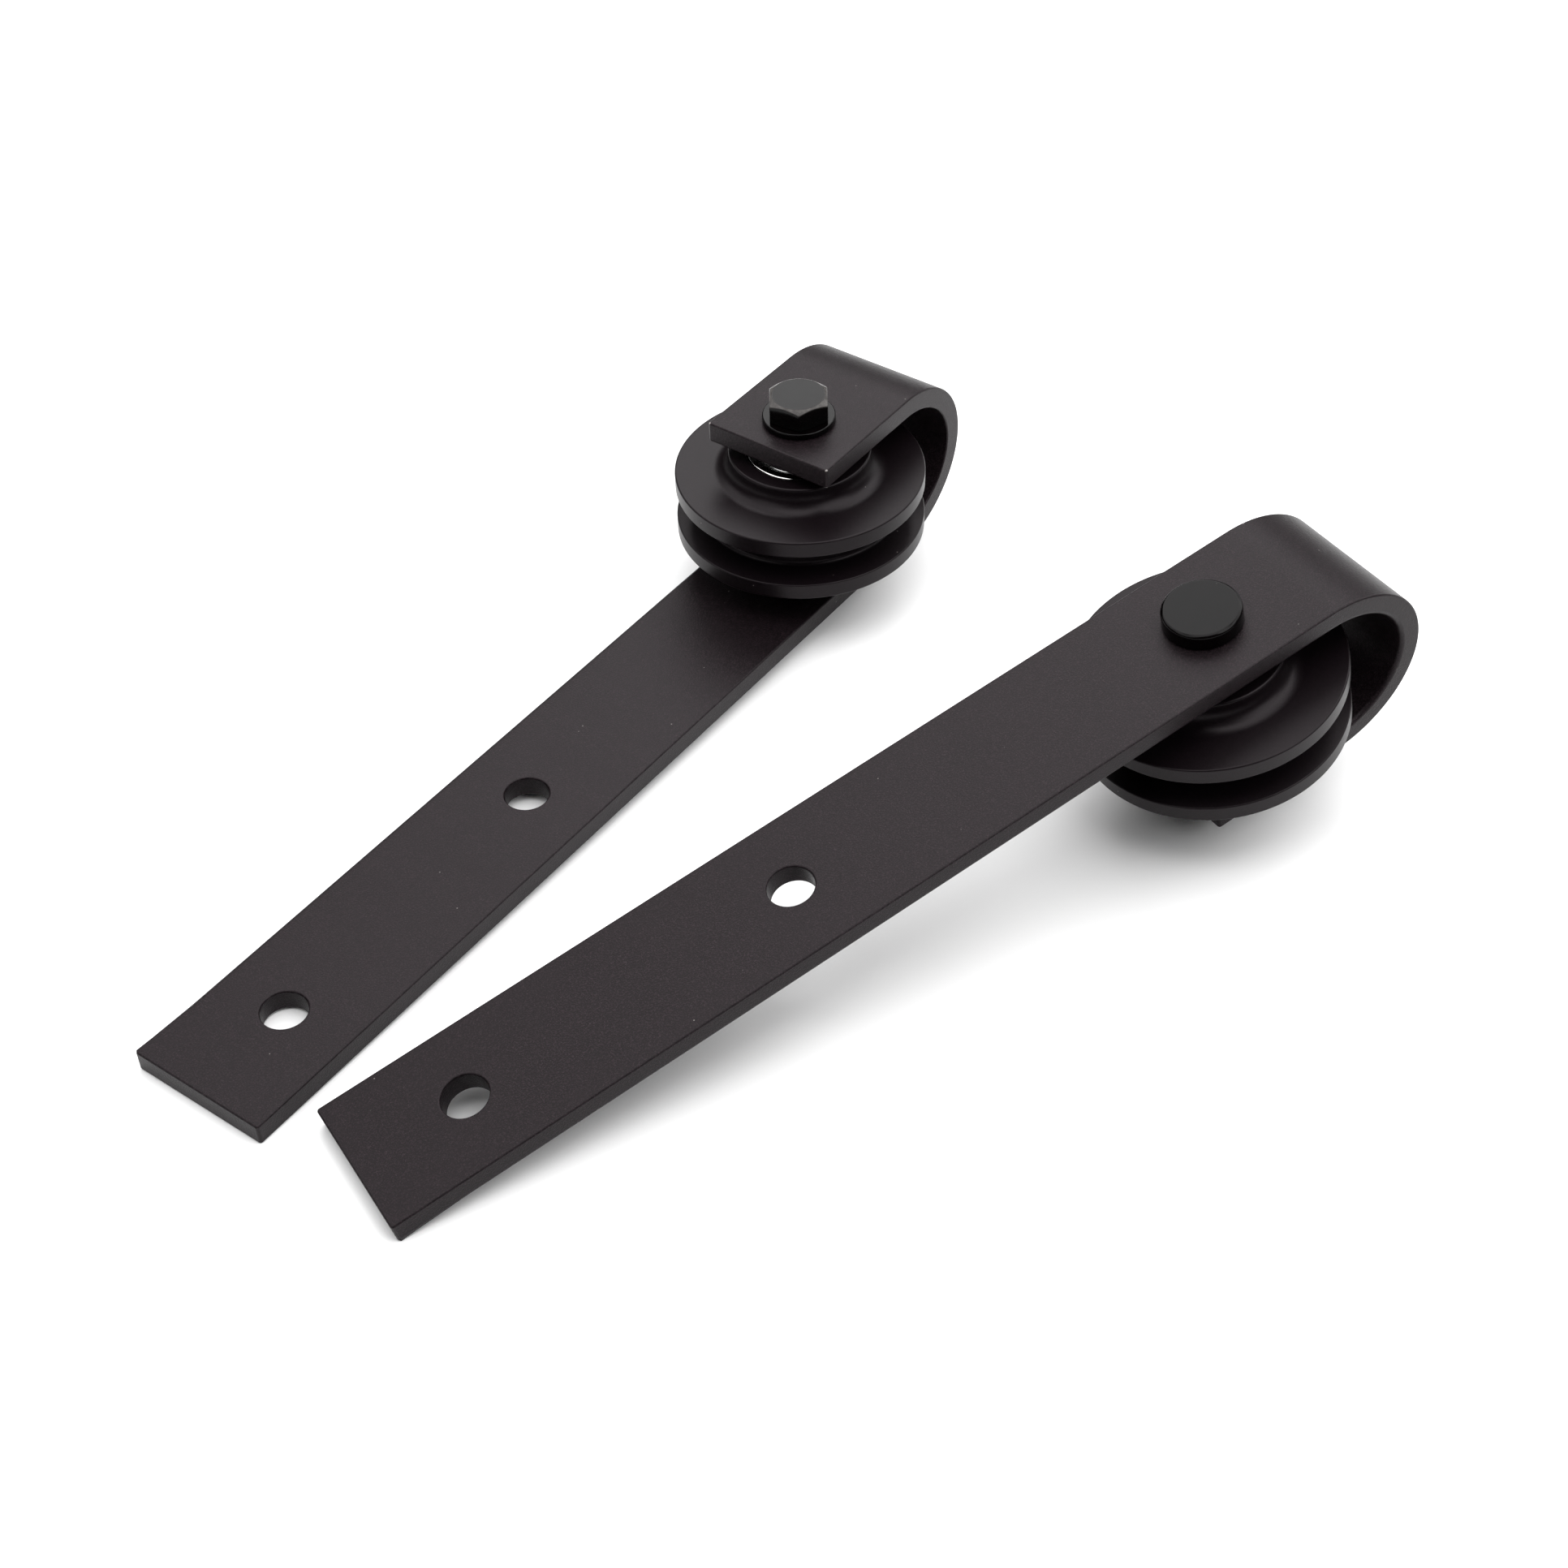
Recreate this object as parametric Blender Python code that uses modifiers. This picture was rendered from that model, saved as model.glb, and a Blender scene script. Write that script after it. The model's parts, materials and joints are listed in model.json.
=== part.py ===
"""Sliding barn door hardware: a pair of bent-strap roller hangers.

Each hanger is a flat steel bar bent into a U over a grooved roller.  The long leg carries two
door-bolt holes, and an axle bolt crosses both legs and screws into a low round-headed nut.  The
roller turns on two shielded ball bearings.  Hanger A lies with its long leg down.  Hanger B lies
beside it, turned over, so that its long leg is on top.

Units are metres, +Z up.  In a hanger's own frame the axle is the Z axis, the long leg's outer
face is at z = 0, the short leg is above it, and the long leg runs along -X from the axle.
"""

import math

import bmesh
import bpy
from mathutils import Euler, Matrix, Vector

# ---------------------------------------------------------------- driving dimensions

STRAP_WIDTH = 0.040
STRAP_THICKNESS = 0.006
LONG_LEG = 0.243            # axle to the strap's lower end
SHORT_LEG = 0.0153          # axle to the short leg's end
LOOP_DEPTH = 0.0511         # outside the long leg to outside the short leg
BEND_START = 0.0238         # axle to where the bend begins
BEND_REACH = 0.0279         # how far the bend stands beyond its start
DOOR_HOLE_RADIUS = 0.00585
DOOR_HOLE_FROM_END = 0.0295
DOOR_HOLE_SPACING = 0.090
STRAP_EDGE = 0.0006         # broken edge of the bar

AXLE_RADIUS = 0.005         # M10
CLEARANCE = 0.0003          # between pieces that touch
HEX_ACROSS_FLATS = 0.016
HEX_HEIGHT = 0.0064
HEX_FLAT_RADIUS = 0.0076    # the flat left on top of the chamfered head
HEX_CHAMFER = math.radians(30.0)
HEX_TURN = math.radians(6.0)    # puts one corner 36 degrees off the long leg's direction
SHANK_END = -0.0020
WASHER_RADIUS = 0.0102
WASHER_THICKNESS = 0.002
NUT_HEAD_RADIUS = 0.0102
NUT_TOP_RADIUS = 0.0095
NUT_HEAD_HEIGHT = 0.0047
NUT_EDGE = 0.0004           # rounding of the nut's rim
NUT_BARREL_RADIUS = 0.0065
NUT_BARREL_END = 0.0054
NUT_BORE_END = -0.0023

WHEEL_RADIUS = 0.0352
RIM_WIDTH = 0.0194          # over both flanges
GROOVE_MOUTH = 0.0098
GROOVE_FLOOR = 0.0068
TREAD_RADIUS = 0.0276
HUB_RADIUS = 0.0200
HUB_FILLET = 0.0047
HUB_EDGE = 0.0012
GROOVE_CORNER = 0.0013
SHOULDER_RADIUS = 0.0131    # bore between the two bearing seats
SIDE_SPACER = 0.0033        # from a leg to the hub's face
SPACER_RADIUS = 0.0078

BEARING_RADIUS = 0.015      # 30 x 10 x 9 mm bearing
BEARING_WIDTH = 0.009
BALL_PITCH_RADIUS = 0.010
SLEEVE_RADIUS = 0.0077
BALL_RADIUS = 0.00218
BALL_COUNT = 8
RACE_RADIUS = 0.00258
BEARING_EDGE = 0.0005
CAGE_RADIAL = 0.0014        # the cage ring's section
CAGE_HEIGHT = 0.0022
OUTER_LAND_RADIUS = 0.0119
INNER_LAND_RADIUS = 0.0081
SHIELD_SEAT_RADIUS = 0.0126
SHIELD_THICKNESS = 0.0005
SHIELD_INSET = 0.0006       # ring face down to the shield

OVERRUN = 0.001             # how far a cutter or a joined solid runs past the face it meets
MERGE_DISTANCE = 0.00001

HANGER_B_OFFSET = (-0.0195, -0.1353)    # hanger B's axle from hanger A's, on the floor
HANGER_B_YAW = math.radians(-22.27)

# ---------------------------------------------------------------- worked out from them

INNER_GAP = LOOP_DEPTH - 2 * STRAP_THICKNESS
WHEEL_CENTRE = LOOP_DEPTH / 2
HUB_HALF_WIDTH = INNER_GAP / 2 - SIDE_SPACER
BEARING_CENTRE = HUB_HALF_WIDTH - BEARING_WIDTH / 2
BORE_RADIUS = AXLE_RADIUS + CLEARANCE
HEAD_TOP = LOOP_DEPTH + WASHER_THICKNESS + HEX_HEIGHT

WHEEL_STEPS = 32            # sides of each turned piece
ROUND_STEPS = 20
BEARING_STEPS = 16
BEND_STEPS = 14


# ---------------------------------------------------------------- scene helpers

def clear_scene():
    for obj in list(bpy.data.objects):
        bpy.data.objects.remove(obj, do_unlink=True)


def new_collection(name):
    collection = bpy.data.collections.new(name)
    bpy.context.scene.collection.children.link(collection)
    return collection


def new_material(name, colour, roughness, metallic):
    material = bpy.data.materials.new(name)
    material.use_nodes = True
    shader = material.node_tree.nodes["Principled BSDF"]
    shader.inputs["Base Color"].default_value = (*colour, 1.0)
    shader.inputs["Roughness"].default_value = roughness
    shader.inputs["Metallic"].default_value = metallic
    return material


def add_object(name, data, collection, parent, material=None):
    obj = bpy.data.objects.new(name, data)
    collection.objects.link(obj)
    obj.parent = parent
    if material is not None:
        data.materials.append(material)
    return obj


def add_cutter(name, mesh, collection, parent):
    cutter = add_object(name, mesh, collection, parent)
    cutter.hide_render = True
    cutter.display_type = "WIRE"
    return cutter


def add_boolean(obj, cutter, operation):
    modifier = obj.modifiers.new(cutter.name, "BOOLEAN")
    modifier.operation = operation
    modifier.object = cutter
    modifier.solver = "EXACT"


# ---------------------------------------------------------------- shapes

def profile_mesh(name, points, closed):
    """A turned profile as a chain of edges at +X, given as (radius, height)."""
    mesh = bpy.data.meshes.new(name)
    bm = bmesh.new()
    verts = [bm.verts.new((radius, 0.0, height)) for radius, height in points]
    for first, second in zip(verts, verts[1:]):
        bm.edges.new((first, second))
    if closed:
        bm.edges.new((verts[-1], verts[0]))
    bm.to_mesh(mesh)
    bm.free()
    return mesh


def add_screw(obj, steps):
    """Turn an object's profile once around its Z axis."""
    screw = obj.modifiers.new("turn", "SCREW")
    screw.axis = "Z"
    screw.steps = steps
    screw.render_steps = steps
    screw.use_merge_vertices = True
    screw.merge_threshold = MERGE_DISTANCE
    screw.use_smooth_shade = False


def add_turned(name, points, place, steps, height=0.0, closed=True):
    """A turned piece whose profile runs down its outer side and up its inner side."""
    mesh = profile_mesh(name, points, closed)
    obj = add_object(name, mesh, place["parts"], place["parent"], place["material"])
    obj.location.z = height
    add_screw(obj, steps)
    return obj


def ring_profile(inner, outer, bottom, top):
    return [(outer, top), (outer, bottom), (inner, bottom), (inner, top)]


def arc(centre, radius, start, end, steps):
    """Points of an arc around (radius, height) centre, with angles in degrees."""
    points = []
    for index in range(steps + 1):
        angle = math.radians(start + (end - start) * index / steps)
        points.append((centre[0] + radius * math.cos(angle), centre[1] + radius * math.sin(angle)))
    return points


def mirrored(points):
    """The profile points and their mirror image below z = 0, in one run from top to bottom."""
    return points + [(radius, -height) for radius, height in reversed(points)]


def cylinder_mesh(name, radius, bottom, top, segments, centre=(0.0, 0.0), turn=0.0):
    mesh = bpy.data.meshes.new(name)
    bm = bmesh.new()
    place = Matrix.Translation((*centre, (bottom + top) / 2)) @ Matrix.Rotation(turn, 4, "Z")
    bmesh.ops.create_cone(bm, cap_ends=True, segments=segments, radius1=radius, radius2=radius,
                          depth=top - bottom, matrix=place)
    bm.to_mesh(mesh)
    bm.free()
    return mesh


# ---------------------------------------------------------------- the strap

def bend_arc(inset):
    """The bend's half ellipse from the long leg round to the short leg, inset from the outside."""
    reach = BEND_REACH - inset
    rise = LOOP_DEPTH / 2 - inset
    points = []
    for index in range(BEND_STEPS + 1):
        angle = math.pi * (index / BEND_STEPS - 0.5)
        points.append((BEND_START + reach * math.cos(angle),
                       LOOP_DEPTH / 2 + rise * math.sin(angle)))
    return points


def strap_outline():
    """The strap seen from its side, as (x, z) points once round."""
    outside = [(-LONG_LEG, 0.0)] + bend_arc(0.0) + [(-SHORT_LEG, LOOP_DEPTH)]
    inside = ([(-SHORT_LEG, LOOP_DEPTH - STRAP_THICKNESS)]
              + list(reversed(bend_arc(STRAP_THICKNESS)))
              + [(-LONG_LEG, STRAP_THICKNESS)])
    return outside + inside


def outline_mesh(name, points, width, place):
    """A flat (x, z) outline extruded along Y to the given width, as a closed mesh."""
    curve = bpy.data.curves.new(name, "CURVE")
    curve.dimensions = "2D"
    curve.fill_mode = "BOTH"
    curve.extrude = width / 2
    spline = curve.splines.new("POLY")
    spline.points.add(len(points) - 1)
    for point, (x, z) in zip(spline.points, points):
        point.co = (x, z, 0.0, 1.0)
    spline.use_cyclic_u = True
    flat = bpy.data.objects.new(name + "_outline", curve)
    place["cutters"].objects.link(flat)
    bpy.context.view_layer.update()
    evaluated = flat.evaluated_get(bpy.context.evaluated_depsgraph_get())
    mesh = bpy.data.meshes.new_from_object(evaluated)
    mesh.name = name
    bpy.data.objects.remove(flat, do_unlink=True)
    bm = bmesh.new()
    bm.from_mesh(mesh)
    bmesh.ops.remove_doubles(bm, verts=bm.verts, dist=MERGE_DISTANCE)
    bmesh.ops.dissolve_limit(bm, angle_limit=math.radians(1.0), verts=bm.verts, edges=bm.edges)
    bmesh.ops.rotate(bm, verts=bm.verts, cent=(0.0, 0.0, 0.0),
                     matrix=Matrix.Rotation(math.pi / 2, 3, "X"))
    bmesh.ops.recalc_face_normals(bm, faces=bm.faces)
    bm.to_mesh(mesh)
    bm.free()
    return mesh


def add_strap(tag, place):
    """The bent bar with its two door-bolt holes and its two axle holes."""
    name = "strap_" + tag
    mesh = outline_mesh(name, strap_outline(), STRAP_WIDTH, place)
    strap = add_object(name, mesh, place["parts"], place["parent"], place["material"])
    edge = strap.modifiers.new("edge", "BEVEL")
    edge.width = STRAP_EDGE
    edge.segments = 1
    edge.limit_method = "ANGLE"
    edge.angle_limit = math.radians(50.0)
    first_hole = -LONG_LEG + DOOR_HOLE_FROM_END
    middle = LOOP_DEPTH / 2
    holes = {
        "door_hole_low": (first_hole, DOOR_HOLE_RADIUS, -OVERRUN, middle),
        "door_hole_high": (first_hole + DOOR_HOLE_SPACING, DOOR_HOLE_RADIUS, -OVERRUN, middle),
        "nut_hole": (0.0, NUT_BARREL_RADIUS + CLEARANCE, -OVERRUN, middle),
        "bolt_hole": (0.0, BORE_RADIUS, middle, LOOP_DEPTH + OVERRUN),
    }
    for hole, (x, radius, bottom, top) in holes.items():
        label = hole + "_" + tag
        cutter_mesh = cylinder_mesh(label, radius, bottom, top, ROUND_STEPS, (x, 0.0))
        cutter = add_cutter(label, cutter_mesh, place["cutters"], place["parent"])
        add_boolean(strap, cutter, "DIFFERENCE")
    return strap


# ---------------------------------------------------------------- the wheel

def wheel_profile():
    """The roller about its centre: hub, filleted web, two flanges and a rail groove."""
    face = HUB_HALF_WIDTH
    flange = RIM_WIDTH / 2
    seat = BEARING_RADIUS + CLEARANCE
    fillet_centre = (HUB_RADIUS + HUB_FILLET, flange + HUB_FILLET)
    upper = [(seat, face), (HUB_RADIUS - HUB_EDGE, face), (HUB_RADIUS, face - HUB_EDGE)]
    upper += arc(fillet_centre, HUB_FILLET, 180, 270, 3)
    upper += [(WHEEL_RADIUS, flange), (WHEEL_RADIUS, GROOVE_MOUTH / 2)]
    upper += [(TREAD_RADIUS + GROOVE_CORNER, GROOVE_FLOOR / 2),
              (TREAD_RADIUS, GROOVE_FLOOR / 2 - GROOVE_CORNER)]
    shoulder = BEARING_CENTRE - BEARING_WIDTH / 2 - CLEARANCE
    return mirrored(upper) + [(seat, -shoulder), (SHOULDER_RADIUS, -shoulder),
                              (SHOULDER_RADIUS, shoulder), (seat, shoulder)]


# ---------------------------------------------------------------- the bearings

def outer_ring_profile():
    half = BEARING_WIDTH / 2
    land = half - SHIELD_INSET - SHIELD_THICKNESS - CLEARANCE
    race_angle = math.degrees(math.acos((OUTER_LAND_RADIUS - BALL_PITCH_RADIUS) / RACE_RADIUS))
    inner = [(SHIELD_SEAT_RADIUS, -half), (SHIELD_SEAT_RADIUS, -land), (OUTER_LAND_RADIUS, -land)]
    inner += arc((BALL_PITCH_RADIUS, 0.0), RACE_RADIUS, -race_angle, race_angle, 2)
    inner += [(OUTER_LAND_RADIUS, land), (SHIELD_SEAT_RADIUS, land), (SHIELD_SEAT_RADIUS, half)]
    outer = [(BEARING_RADIUS - BEARING_EDGE, half), (BEARING_RADIUS, half - BEARING_EDGE)]
    return mirrored(outer) + inner


def inner_ring_profile():
    half = BEARING_WIDTH / 2
    race_angle = math.degrees(math.acos((BALL_PITCH_RADIUS - INNER_LAND_RADIUS) / RACE_RADIUS))
    outer = [(INNER_LAND_RADIUS, half)]
    outer += arc((BALL_PITCH_RADIUS, 0.0), RACE_RADIUS, 180 - race_angle, 180 + race_angle, 2)
    outer += [(INNER_LAND_RADIUS, -half)]
    return outer + [(BORE_RADIUS, -half), (BORE_RADIUS, half)]


def add_ball_cage(name, height, place):
    """The cage ring and its eight balls, joined into one turning piece."""
    ring = ring_profile(BALL_PITCH_RADIUS - CAGE_RADIAL / 2, BALL_PITCH_RADIUS + CAGE_RADIAL / 2,
                        -CAGE_HEIGHT / 2, CAGE_HEIGHT / 2)
    cage = add_turned(name, ring, place, BEARING_STEPS, height)
    balls = bpy.data.meshes.new(name + "_balls")
    bm = bmesh.new()
    for index in range(BALL_COUNT):
        angle = math.tau * index / BALL_COUNT
        centre = Matrix.Rotation(angle, 4, "Z") @ Vector((BALL_PITCH_RADIUS, 0.0, 0.0))
        bmesh.ops.create_uvsphere(bm, u_segments=8, v_segments=5, radius=BALL_RADIUS,
                                  matrix=Matrix.Translation(centre))
    bm.to_mesh(balls)
    bm.free()
    cutter = add_cutter(name + "_balls", balls, place["cutters"], place["parent"])
    cutter.location.z = height
    add_boolean(cage, cutter, "UNION")
    return cage


def add_bearing(side, tag, height, place, finishes):
    """One shielded deep-groove bearing centred at the given height."""
    place = dict(place, material=finishes["bearing_steel"])
    add_turned(f"{side}_bearing_outer_ring_{tag}", outer_ring_profile(), place, BEARING_STEPS, height)
    add_turned(f"{side}_bearing_inner_ring_{tag}", inner_ring_profile(), place, BEARING_STEPS, height)
    add_ball_cage(f"{side}_bearing_ball_cage_{tag}", height, place)
    top = BEARING_WIDTH / 2 - SHIELD_INSET
    shield = ring_profile(INNER_LAND_RADIUS + CLEARANCE, SHIELD_SEAT_RADIUS - CLEARANCE,
                          top - SHIELD_THICKNESS, top)
    place["material"] = finishes["shield_steel"]
    for label, direction in (("top", 1), ("bottom", -1)):
        offset = 0.0 if direction > 0 else -(2 * top - SHIELD_THICKNESS)
        add_turned(f"{side}_bearing_{label}_shield_{tag}", shield, place, BEARING_STEPS, height + offset)


# ---------------------------------------------------------------- the axle pieces

def add_axle_bolt(tag, place):
    """The hex bolt: its head sits on the washer above the short leg, its shank crosses both legs."""
    name = "axle_bolt_" + tag
    bottom = LOOP_DEPTH + WASHER_THICKNESS + CLEARANCE
    corner_radius = HEX_ACROSS_FLATS / math.sqrt(3)
    head_mesh = cylinder_mesh(name, corner_radius, bottom, HEAD_TOP + OVERRUN, 6, turn=HEX_TURN)
    bolt = add_object(name, head_mesh, place["parts"], place["parent"], place["material"])
    cone_radius = corner_radius + OVERRUN
    cone_foot = HEAD_TOP - (cone_radius - HEX_FLAT_RADIUS) * math.tan(HEX_CHAMFER)
    chamfer = [(0.0, HEAD_TOP), (HEX_FLAT_RADIUS, HEAD_TOP), (cone_radius, cone_foot),
               (cone_radius, bottom - OVERRUN), (0.0, bottom - OVERRUN)]
    cone = add_cutter(name + "_chamfer", profile_mesh(name + "_chamfer", chamfer, False),
                      place["cutters"], place["parent"])
    add_screw(cone, ROUND_STEPS)
    add_boolean(bolt, cone, "INTERSECT")
    shank_mesh = cylinder_mesh(name + "_shank", AXLE_RADIUS, SHANK_END, bottom + OVERRUN, ROUND_STEPS)
    shank = add_cutter(name + "_shank", shank_mesh, place["cutters"], place["parent"])
    add_boolean(bolt, shank, "UNION")
    return bolt


def nut_profile():
    """The round-headed nut: low head outside the long leg, barrel in its hole, blind bore."""
    return [(0.0, NUT_BORE_END), (BORE_RADIUS, NUT_BORE_END), (BORE_RADIUS, NUT_BARREL_END),
            (NUT_BARREL_RADIUS, NUT_BARREL_END), (NUT_BARREL_RADIUS, -CLEARANCE),
            (NUT_HEAD_RADIUS, -CLEARANCE), (NUT_TOP_RADIUS + NUT_EDGE, NUT_EDGE - NUT_HEAD_HEIGHT),
            (NUT_TOP_RADIUS, -NUT_HEAD_HEIGHT), (0.0, -NUT_HEAD_HEIGHT)]


def add_axle_nut(tag, place):
    return add_turned("axle_nut_" + tag, nut_profile(), place, ROUND_STEPS, closed=False)


# ---------------------------------------------------------------- one hanger

def add_hanger(tag, parent, parts, cutters, finishes):
    place = {"parts": parts, "cutters": cutters, "parent": parent}
    coat = dict(place, material=finishes["strap_coat"])
    black = dict(place, material=finishes["bolt_black"])
    steel = dict(place, material=finishes["spacer_steel"])

    add_strap(tag, coat)
    add_turned("wheel_" + tag, wheel_profile(), dict(place, material=finishes["wheel_coat"]),
               WHEEL_STEPS, WHEEL_CENTRE)
    for side, direction in (("short_side", 1), ("long_side", -1)):
        add_bearing(side, tag, WHEEL_CENTRE + direction * BEARING_CENTRE, place, finishes)

    spacer_half = SIDE_SPACER / 2 - CLEARANCE
    spacer = ring_profile(BORE_RADIUS, SPACER_RADIUS, -spacer_half, spacer_half)
    for side, direction in (("short_side", 1), ("long_side", -1)):
        height = WHEEL_CENTRE + direction * (INNER_GAP - SIDE_SPACER) / 2
        add_turned(f"{side}_spacer_{tag}", spacer, steel, BEARING_STEPS, height)
    sleeve_half = BEARING_CENTRE - BEARING_WIDTH / 2 - CLEARANCE
    sleeve = ring_profile(BORE_RADIUS, SLEEVE_RADIUS, -sleeve_half, sleeve_half)
    add_turned("bearing_sleeve_" + tag, sleeve, steel, BEARING_STEPS, WHEEL_CENTRE)

    washer = ring_profile(BORE_RADIUS, WASHER_RADIUS, LOOP_DEPTH + CLEARANCE,
                          LOOP_DEPTH + WASHER_THICKNESS)
    add_turned("washer_" + tag, washer, black, ROUND_STEPS)
    add_axle_bolt(tag, black)
    add_axle_nut(tag, black)


# ---------------------------------------------------------------- laying the pair on the floor

def lay_hanger_a(empty):
    """Long leg down: it rests on the nut's rim and the strap's lower end."""
    tilt = math.atan2(NUT_HEAD_HEIGHT, LONG_LEG - NUT_TOP_RADIUS)
    empty.rotation_euler = Euler((0.0, -tilt, 0.0))
    empty.location.z = LONG_LEG * math.sin(tilt)


def lay_hanger_b(empty):
    """Turned over: it rests on the bolt head's rim and the strap's lower end."""
    tilt = math.atan2(HEAD_TOP - STRAP_THICKNESS, LONG_LEG - HEX_FLAT_RADIUS)
    turned_over = Matrix.Rotation(math.pi, 4, "X")
    pose = Matrix.Rotation(HANGER_B_YAW, 4, "Z") @ Matrix.Rotation(-tilt, 4, "Y") @ turned_over
    empty.rotation_euler = pose.to_euler()
    height = LONG_LEG * math.sin(tilt) + STRAP_THICKNESS * math.cos(tilt)
    empty.location = (*HANGER_B_OFFSET, height)


def centre_on_floor(layout, parts):
    """Move the pair so that the origin is at the middle of its footprint, at floor level."""
    bpy.context.view_layer.update()
    graph = bpy.context.evaluated_depsgraph_get()
    corners = []
    for obj in parts.objects:
        if obj.type != "MESH":
            continue
        evaluated = obj.evaluated_get(graph)
        corners += [evaluated.matrix_world @ vert.co for vert in evaluated.data.vertices]
    low = Vector([min(corner[axis] for corner in corners) for axis in range(3)])
    high = Vector([max(corner[axis] for corner in corners) for axis in range(3)])
    layout.location = (-(low.x + high.x) / 2, -(low.y + high.y) / 2, -low.z)


def main():
    clear_scene()
    parts = new_collection("barn_door_hangers")
    cutters = new_collection("cutters")
    finishes = {
        "strap_coat": new_material("strap_coat", (0.058, 0.050, 0.052), 0.55, 0.0),
        "wheel_coat": new_material("wheel_coat", (0.045, 0.040, 0.042), 0.50, 0.0),
        "bolt_black": new_material("bolt_black", (0.010, 0.010, 0.011), 0.20, 0.6),
        "bearing_steel": new_material("bearing_steel", (0.62, 0.61, 0.60), 0.16, 1.0),
        "shield_steel": new_material("shield_steel", (0.50, 0.50, 0.50), 0.25, 1.0),
        "spacer_steel": new_material("spacer_steel", (0.45, 0.45, 0.46), 0.35, 1.0),
    }
    layout = add_object("layout", None, parts, None)
    for tag, lay in (("a", lay_hanger_a), ("b", lay_hanger_b)):
        empty = add_object("hanger_" + tag, None, parts, layout)
        lay(empty)
        add_hanger(tag, empty, parts, cutters, finishes)
    centre_on_floor(layout, parts)


main()
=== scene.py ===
"""Sliding barn door hardware: a pair of bent-strap roller hangers, one lying each way up.

Every piece is modelled in its hanger's own frame and then laid where the frame puts that hanger:
the axle is the Z axis, the long leg's outer face is at z = 0, the short leg is above it, and the
long leg runs along -X from the axle.  Sizes are in metres.
"""

import json
import math

import bmesh
import bpy
from bpy.props import FloatProperty, FloatVectorProperty, IntProperty, PointerProperty
from bpy.types import Operator, Panel, PropertyGroup
from mathutils import Matrix, Vector


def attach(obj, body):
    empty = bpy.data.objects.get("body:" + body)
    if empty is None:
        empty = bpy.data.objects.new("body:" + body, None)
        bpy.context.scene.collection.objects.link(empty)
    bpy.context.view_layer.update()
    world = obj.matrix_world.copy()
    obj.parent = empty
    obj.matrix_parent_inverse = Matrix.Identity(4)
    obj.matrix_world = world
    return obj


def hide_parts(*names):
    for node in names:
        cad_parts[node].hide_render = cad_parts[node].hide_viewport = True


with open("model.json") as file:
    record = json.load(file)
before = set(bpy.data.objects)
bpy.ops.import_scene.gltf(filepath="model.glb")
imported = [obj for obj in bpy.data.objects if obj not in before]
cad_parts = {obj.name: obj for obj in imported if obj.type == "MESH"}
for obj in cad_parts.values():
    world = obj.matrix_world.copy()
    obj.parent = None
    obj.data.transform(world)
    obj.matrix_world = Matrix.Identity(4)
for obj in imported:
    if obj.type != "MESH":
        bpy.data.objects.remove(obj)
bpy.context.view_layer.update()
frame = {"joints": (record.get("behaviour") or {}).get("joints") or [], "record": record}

bl_info = {
    "name": "Barn Door Roller Hangers",
    "version": (1, 0, 0),
    "blender": (4, 5, 0),
    "location": "View3D > Sidebar > Hangers",
    "description": "Builds a pair of roller hangers for a sliding barn door",
    "category": "Object",
}

TAGS = ("a", "b")
SIDES = (("short_side", 1), ("long_side", -1))
PALE_EDGE = "edge"                    # vertex attribute: how far an edge is lightened towards the pale colour, which on the bolt heads is painted highlight

MERGE = 0.000002                 # points nearer than this are one point
ROOM = 0.98                      # share of an edge that its two roundings may use up
ROUND_STEP = 9                   # degrees in each segment of a rounded corner
EDGE_SEGMENTS = 4                # segments across an edge rounding
SHARP = math.radians(60.0)       # edges that turn more than this are rounded
HOLE_SIDES = 64
COLLAR = 1.9                     # half side of the square round a hole, in hole radii

# how many of each mark there are in a metre of finish
SAND, GRAIN, CLOUDS, DUST, MARK_PATCHES = 2300.0, 3200.0, 45.0, 430.0, 900.0
SMEARS, RIPPLES, NICKS, HIGHLIGHT_PATCHES = 260.0, 3600.0, 1100.0, 500.0
STEEL_CLOUDS, TURNING_MARKS = 300.0, 2600.0

# how deep they are
SAND_DEPTH, GRAIN_DEPTH, RIPPLE_DEPTH, TURNING_DEPTH = 0.00012, 0.00005, 0.000002, 0.000001

COAT_SPECULAR, BLACK_SPECULAR, FLOOR_SPECULAR = 0.15, 0.11, 0.1
COAT_SPECULAR_TINT = (1.0, 0.91, 0.95, 1.0)
FLOOR_ROUGHNESS = 0.9

# name, bearing from the camera, elevation, size and brightness of each softbox
SOFTBOXES = (
    ("overhead", 0.0, 85.0, 1.30, 3.45),
    ("front_right", 60.0, 48.0, 1.25, 3.50),
    ("right", 120.0, 48.0, 1.25, 3.20),
    ("back", 180.0, 48.0, 1.25, 3.64),
    ("back_left", 240.0, 48.0, 1.25, 2.37),
    ("front_left", 300.0, 48.0, 1.25, 2.01),
    ("low_right", 90.0, 18.0, 1.05, 0.15),
    ("low_back_right", 135.0, 18.0, 1.05, 1.18),
    ("low_back", 180.0, 18.0, 1.05, 0.26),
)


# ---------------------------------------------------------------- settings

def length(name, default, text):
    return FloatProperty(name=name, description=text, default=default, unit="LENGTH", precision=5)


def colour(name, default, text):
    return FloatVectorProperty(name=name, description=text, default=default, size=3, min=0.0,
                               max=1.0, subtype="COLOR")


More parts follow.
